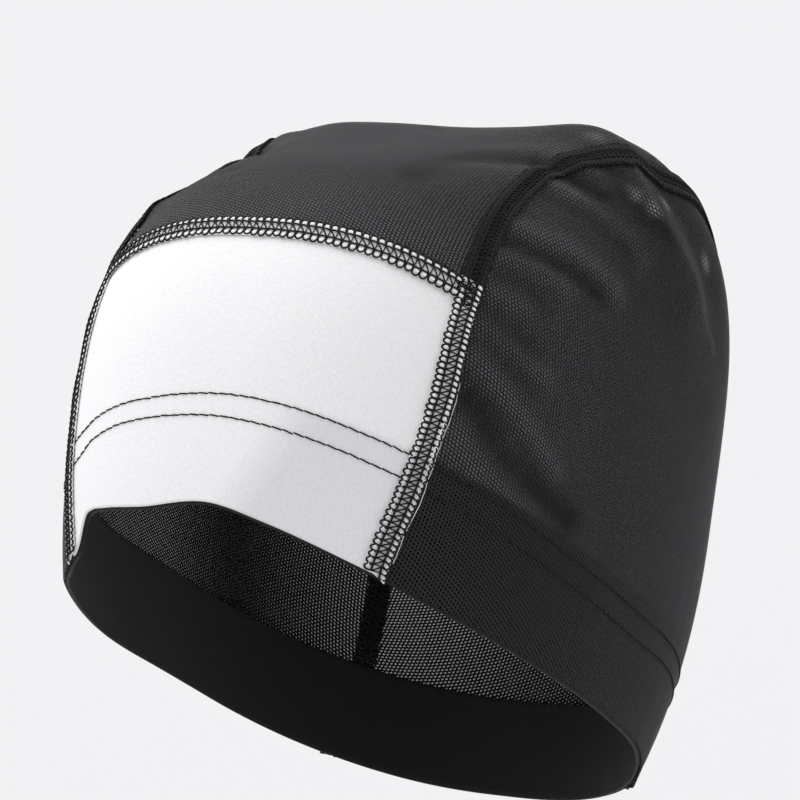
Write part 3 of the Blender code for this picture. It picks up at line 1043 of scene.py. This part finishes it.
# Unevenness of a flat seam's stitches, as shares of their width and length
UNEVEN = dict(width=0.05, place=0.04)

# Threads may reach this far past the hem's edge, and in front this much further
HEM_PLAY = 0.0001
FRONT_PLAY = 0.0008

# Cloth between a seam's threads: how high it puffs up, its width as a share of the seam's,
# and how far across the half seam its outer cells begin
PUFF = 0.0007
BASE_SHARE = 0.97
CELL_EDGE = 0.4

# How many degrees behind the front seam a side seam's cloth turns from white to black
WHITE_PAST = 2.6


class Line:
    """A line on the form, read by metres along it and metres to its side."""

    def __init__(self, ways, origin=0):
        self.ways = ways
        points = form_reach(ways)[:, None] * ways
        steps = np.linalg.norm(np.diff(points, axis=0), axis=1)
        self.station = np.concatenate([[0.0], np.cumsum(steps)])
        self.station -= self.station[origin]
        ahead = np.gradient(ways, axis=0)
        self.sideways = unit(np.cross(ahead, ways))

    def read(self, along, across):
        way = unit(np.stack([np.interp(along, self.station, self.ways[:, k]) for k in range(3)], -1))
        side = unit(np.stack([np.interp(along, self.station, self.sideways[:, k]) for k in range(3)], -1))
        return unit(way + (across / form_reach(way))[:, None] * side)


def side_seam_line(side):
    """A side seam's middle line, past the hem at both ends, from the front hem's station 0."""
    front, back = corner_turns(side)
    turns = np.concatenate([np.linspace(front - 5, front, MARGIN + 1)[:-1], np.linspace(front, back, 480),
                            np.linspace(back, back + 5, MARGIN + 1)[1:]])
    line = Line(seam_way(side, turns), origin=MARGIN)
    line.length = line.station[-1 - MARGIN]
    line.station_of = lambda way: np.interp(turn_of(way), turns, line.station)
    return line


def front_seam_line():
    """The forehead seam's middle line, from the right side seam to the left one."""
    shares = np.linspace(-1.1, 1.1, 221)
    turns = front_seam_turn(shares)
    line = Line(seam_way(shares, turns), origin=MARGIN)
    line.length = line.station[-1 - MARGIN]

    def station_of(way):
        return np.interp(aside_of(way) / seam_aside(turn_of(way)), shares, line.station)

    line.station_of = station_of
    return line


def seam_spread(way):
    """How much wider the left side seam lies where the tent pulls it flat over the crown."""
    bump = np.exp(-((turn_of(way) - WIDER["turn"]) / WIDER["over"]) ** 2)
    return 1 + WIDER["more"] * bump * (way[..., 0] > 0)


def thread_piece(name, points, radius):
    """A thread through points, as a tube with closed ends."""
    deselect()
    bpy.ops.curve.primitive_nurbs_path_add(location=(0, 0, 0))
    piece = name_piece(bpy.context.object, name)
    curve = piece.data
    curve.splines.remove(curve.splines[0])
    spline = curve.splines.new("POLY")
    spline.points.add(len(points) - 1)
    for point, place in zip(spline.points, points):
        point.co = (*place, 1.0)
    curve.dimensions = "3D"
    curve.bevel_depth = radius
    curve.bevel_resolution = 1
    curve.use_fill_caps = True
    bpy.ops.object.convert(target="MESH")
    return bpy.context.object


def join_pieces(pieces, name):
    deselect()
    for piece in pieces:
        piece.select_set(True)
    bpy.context.view_layer.objects.active = pieces[0]
    if len(pieces) > 1:
        bpy.ops.object.join()
    return name_piece(bpy.context.object, name)


def repeat_piece(piece, count, step):
    """Copies a piece along X with an array, and returns how many vertices one copy has."""
    only(piece)
    each = len(piece.data.vertices)
    row = piece.modifiers.new("Row", "ARRAY")
    row.count = count
    row.use_relative_offset = False
    row.use_constant_offset = True
    row.constant_offset_displace = (step, 0.0, 0.0)
    bpy.ops.object.modifier_apply(modifier="Row")
    return each


def seam_stitch(name, stitch, mesh_side):
    """One stitch of a flat seam, modelled flat: X along the seam, Y across it, Z over the cloth."""
    seams = bpy.context.scene.cap_seams
    threads = []
    for thread in SEAM_THREADS:
        for mirror in (1, -1) if thread["mirror"] else (1,):
            slant = seams.loop_slant if thread["name"] == "loop" and mirror == mesh_side else 0.0
            points = [((along - slant * (across - LOOP_FOOT)) * stitch, mirror * across * seams.width / 2,
                       lift * seams.thread) for along, across, lift in thread["points"]]
            threads.append(thread_piece(thread["name"], points, thread["girth"] * seams.thread / 2))
    return join_pieces(threads, name)


def sew(name, line, stitch, mesh_side, inside, start, end):
    """Repeats the seam's stitch along a line and lays the threads on the cloth."""
    seams = bpy.context.scene.cap_seams
    piece = seam_stitch(name, stitch, mesh_side)
    count = int((end - start) / stitch)
    each = repeat_piece(piece, count, stitch)
    flat = vertices_of(piece.data)
    copy = np.arange(len(flat)) // each
    chance = np.random.default_rng(seams.seed)
    wide = 1 + UNEVEN["width"] * chance.standard_normal(count)[copy]
    slide = UNEVEN["place"] * stitch * chance.standard_normal(count)[copy]
    along, across = flat[:, 0] + slide + start, flat[:, 1] * wide
    way = line.read(along, across * seam_spread(line.read(along, 0 * across)))
    base = -(bpy.context.scene.cap_cloth.panel_wall + seams.base_wall) if inside else seams.base_wall
    lift = base - flat[:, 2] if inside else base + flat[:, 2]
    place_vertices(piece.data, on_form(way, lift))
    trim_below_hem(piece, way)
    if inside:
        only(piece)
        in_edit_mode(bpy.ops.mesh.normals_make_consistent, inside=False)
    bpy.ops.object.shade_smooth()
    finish_piece(piece, "cap_thread", "seam_thread")


def raw_edge(name, line, side, start, end):
    """The forehead panel's raw edge, peeping out beside a side seam's loops."""
    seams = bpy.context.scene.cap_seams
    along = np.arange(start, end, RAW_ROLL["step"])
    chance = np.random.default_rng(seams.seed + 2)
    waver = np.convolve(chance.standard_normal(len(along) + 8), np.ones(9) / 9, "valid")
    across = side * (seams.width / 2 + RAW_ROLL["beside"] + RAW_ROLL["sideways"] * waver)
    points = on_form(line.read(along, across), RAW_ROLL["upwards"] * waver)
    piece = thread_piece(name, points, RAW_ROLL["radius"])
    bpy.ops.object.shade_smooth()
    finish_piece(piece, "cap_white_knit", "white_knit")


def trim_below_hem(piece, way):
    """Removes the threads that lie past the hem's edge, one loose thread at a time."""
    over = height_over_hem(way) + np.where(way[:, 1] < 0, FRONT_PLAY, 0.0)
    mesh = piece.data
    edges = np.empty(len(mesh.edges) * 2, int)
    mesh.edges.foreach_get("vertices", edges)
    label = np.arange(len(mesh.vertices))
    edges = edges.reshape(-1, 2)
    while True:
        low = np.minimum(label[edges[:, 0]], label[edges[:, 1]])
        fresh = label.copy()
        np.minimum.at(fresh, edges[:, 0], low)
        np.minimum.at(fresh, edges[:, 1], low)
        if (fresh == label).all():
            break
        label = fresh
    lowest = np.full(len(label), np.inf)
    np.minimum.at(lowest, label, over)
    drop = lowest[label] < -HEM_PLAY
    if not drop.any():
        return
    only(piece)
    in_edit_mode(bpy.ops.mesh.select_all, action="DESELECT")
    mesh.vertices.foreach_set("select", drop)
    bpy.ops.object.mode_set(mode="EDIT")
    bpy.ops.mesh.select_mode(type="VERT")
    bpy.ops.mesh.delete(type="VERT")
    bpy.ops.object.mode_set(mode="OBJECT")


def seam_base(name, ways, line, stitch, start):
    """The cloth between a flat seam's threads, puffed a little in each cell of the stitch."""
    seams = bpy.context.scene.cap_seams

    def lift(way, across, along):
        side = np.abs(2 * across - 1)
        cell = np.abs(np.sin(np.pi * (line.station_of(way) - start) / stitch))
        outer, middle = np.sin(np.pi * fade(side, CELL_EDGE, 1.0)), 0.5 * np.cos(side * 3)
        puff = np.where(side > CELL_EDGE, outer, middle)
        return seams.base_wall + PUFF * puff * cell ** 0.5

    def chart(way, across, along):
        return across * seams.width, along * line.length

    return lay_cloth(name, (14, int(line.length / stitch * 6)), ways, lift, seams.base_wall * 0.8, chart)


def side_base_ways(side):
    """Directions over a side seam, whose ends are cut along the hem."""
    seams, form = bpy.context.scene.cap_seams, bpy.context.scene.cap_form

    def ways(across, along):
        offset = seams.width * BASE_SHARE * (across - 0.5)
        share = side * (1 + side * np.degrees(offset / form.half_width) / seam_aside(0.0))
        front, back = front_hem_turn(share), back_hem_turn(share)
        turn = front + (back - front) * along
        line, ahead = seam_way(side, turn), seam_way(side, turn + 0.5)
        sideways = unit(np.cross(ahead - line, line))
        return unit(line + (offset * seam_spread(line) / form_reach(line))[..., None] * sideways)

    return ways


def front_base_ways(across, along):
    seams, form = bpy.context.scene.cap_seams, bpy.context.scene.cap_form
    share = 2 * along - 1
    spread = np.degrees(seams.width * BASE_SHARE / form.front_reach)
    turn = front_seam_turn(share) + spread * (across - 0.5)
    return seam_way(share, turn)


def whiten(piece, limit):
    """Gives the faces in front of a turn the first material and the rest the second."""
    turn, rise = leaning()
    centres = np.array([face.center for face in piece.data.polygons])
    behind = turn_of((centres + rise) @ turn) > limit
    piece.data.polygons.foreach_set("material_index", behind.astype(int))


class CAP_OT_flat_seams(Operator):
    """Makes the three flat seams: the cloth under the threads and the threads"""

    bl_idname = "cap.flat_seams"
    bl_label = "Flat seams"

    def execute(self, context):
        seams = context.scene.cap_seams
        for side, word in ((1, "left"), (-1, "right")):
            line = side_seam_line(side)
            base = seam_base(f"seam_{word}_base", side_base_ways(side), line, seams.side_stitch,
                             -SIDE_SEAM_PAST)
            finish_piece(base, "cap_white_knit cap_lining", "band_cloth", f"seam_{word}")
            whiten(base, math.degrees(context.scene.cap_form.front_seam_side) + WHITE_PAST)
            sew(f"seam_{word}_threads", line, seams.side_stitch, side, False,
                -SIDE_SEAM_PAST, line.length + SIDE_SEAM_PAST)
            raw_edge(f"seam_{word}_raw_edge", line, side, *RAW_EDGE)
            sew(f"seam_{word}_under_threads", line, seams.side_stitch, side, True,
                INSIDE_ENDS[0], line.length - INSIDE_ENDS[1])
        line = front_seam_line()
        base = seam_base("seam_front_base", front_base_ways, line, seams.stitch, -FRONT_SEAM_PAST)
        finish_piece(base, "cap_white_knit", "white_knit", "seam_front")
        sew("seam_front_threads", line, seams.stitch, -1, False,
            -FRONT_SEAM_PAST, line.length + FRONT_SEAM_PAST)
        return {"FINISHED"}


class CAP_OT_hem_rows(Operator):
    """Makes the two rows of stitching round the hem"""

    bl_idname = "cap.hem_rows"
    bl_label = "Hem rows"

    def execute(self, context):
        form, seams = context.scene.cap_form, context.scene.cap_seams
        chance = np.random.default_rng(seams.seed + 1)
        for row in ("upper", "lower"):
            azimuth = np.linspace(-180, 180, 900)
            height = hem_value(azimuth, row) * form.band_height
            line = Line(above_hem(azimuth, height))
            length = line.station[-1]
            count = round(length / seams.row_stitch)
            step = length / count
            points = [(along * step, 0.0, lift * seams.row_thread) for along, lift in ROW_STITCH]
            piece = join_pieces([thread_piece("row", points, seams.row_thread / 2)], f"hem_row_{row}")
            each = repeat_piece(piece, count, step)
            flat = vertices_of(piece.data)
            copy = np.arange(len(flat)) // each
            slant = ROW_SLANT * (1 + 0.5 * chance.standard_normal(count)[copy])
            part = flat[:, 0] / step - copy
            sideways = flat[:, 1] + slant * (part - 0.5) + ROW_WAVER * chance.standard_normal(count)[copy]
            way = line.read(flat[:, 0], sideways)
            place_vertices(piece.data, on_form(way, flat[:, 2]))
            bpy.ops.object.shade_smooth()
            finish_piece(piece, "cap_thread", "seam_thread")
        return {"FINISHED"}


def aim(azimuth, elevation):
    """The way to a place in the studio, and the turn that looks back from there."""
    way = Vector(by_azimuth(math.degrees(azimuth), math.degrees(elevation)))
    return way, way.to_track_quat("Z", "Y").to_euler()


class CAP_OT_stage(Operator):
    """Makes the floor, the soft lights, the surroundings and the camera"""

    bl_idname = "cap.stage"
    bl_label = "Studio"

    def execute(self, context):
        studio = context.scene.cap_studio
        deselect()
        level = FRAME_BOX[0][2] - studio.floor_drop
        bpy.ops.mesh.primitive_plane_add(size=600.0, location=(0, 0, level))
        floor = name_piece(context.object, "studio_floor")
        material, work, shader = new_material("studio_floor")
        soft = work.add("ShaderNodeTexNoise")
        soft.inputs["Scale"].default_value = 3.0
        tint = tuple(0.99 * channel for channel in studio.floor_colour) + (1.0,)
        work.give(shader, {"Base Color": work.mix(soft.outputs[0], tint, (*studio.floor_colour, 1.0)),
                           "Roughness": 0.9})
        floor.data.materials.append(material)
        world = bpy.data.worlds.new("studio")
        world.use_nodes = True
        surround = world.node_tree.nodes["Background"]
        surround.inputs[0].default_value = (1.0, 1.0, 1.01, 1.0)
        surround.inputs[1].default_value = studio.surround_strength
        context.scene.world = world
        way, turn = aim(studio.sun_azimuth, studio.sun_elevation)
        bpy.ops.object.light_add(type="SUN", location=way * 2.0, rotation=turn)
        lamp = context.object
        lamp.name = "studio_soft_sun"
        lamp.data.energy = studio.sun_strength
        lamp.data.angle = studio.sun_softness
        context.scene.view_settings.view_transform = "Standard"
        way, turn = aim(studio.view_azimuth, studio.view_elevation)
        place = Vector(studio.view_target) + way * studio.view_distance
        bpy.ops.object.camera_add(location=place, rotation=turn)
        camera = context.object
        camera.name = "studio_camera"
        camera.data.lens = studio.lens
        camera.data.clip_end = 1000.0
        context.scene.camera = camera
        return {"FINISHED"}


class CAP_PT_maker(Panel):
    """Lists the makers of the cap's pieces"""

    bl_label = "Mesh swim cap"
    bl_idname = "CAP_PT_maker"
    bl_space_type = "VIEW_3D"
    bl_region_type = "UI"
    bl_category = "Swim cap"

    def draw(self, context):
        column = self.layout.column()
        for maker in MAKERS:
            column.operator(maker.bl_idname)
        for group in (context.scene.cap_form, context.scene.cap_cloth, context.scene.cap_seams,
                      context.scene.cap_studio):
            box = self.layout.box()
            for name in group.__annotations__:
                box.prop(group, name)


MAKERS = (CAP_OT_stage, CAP_OT_flat_seams, CAP_OT_hem_rows, CAP_OT_front_panel, CAP_OT_crown_panel,
          CAP_OT_side_panels, CAP_OT_hem)
GROUPS = dict(cap_form=CapForm, cap_cloth=CapCloth, cap_seams=CapSeams, cap_studio=CapStudio)


def register():
    for name, group in GROUPS.items():
        bpy.utils.register_class(group)
        setattr(bpy.types.Scene, name, PointerProperty(type=group))
    for maker in (*MAKERS, CAP_PT_maker):
        bpy.utils.register_class(maker)


def unregister():
    for maker in (CAP_PT_maker, *reversed(MAKERS)):
        bpy.utils.unregister_class(maker)
    for name, group in reversed(GROUPS.items()):
        delattr(bpy.types.Scene, name)
        bpy.utils.unregister_class(group)


def main():
    register()
    bpy.ops.cap.stage()
    bpy.ops.cap.flat_seams()
    bpy.ops.cap.hem_rows()
    bpy.ops.cap.front_panel()
    bpy.ops.cap.crown_panel()
    bpy.ops.cap.side_panels()
    bpy.ops.cap.hem()
    deselect()


if __name__ == "__main__":
    main()
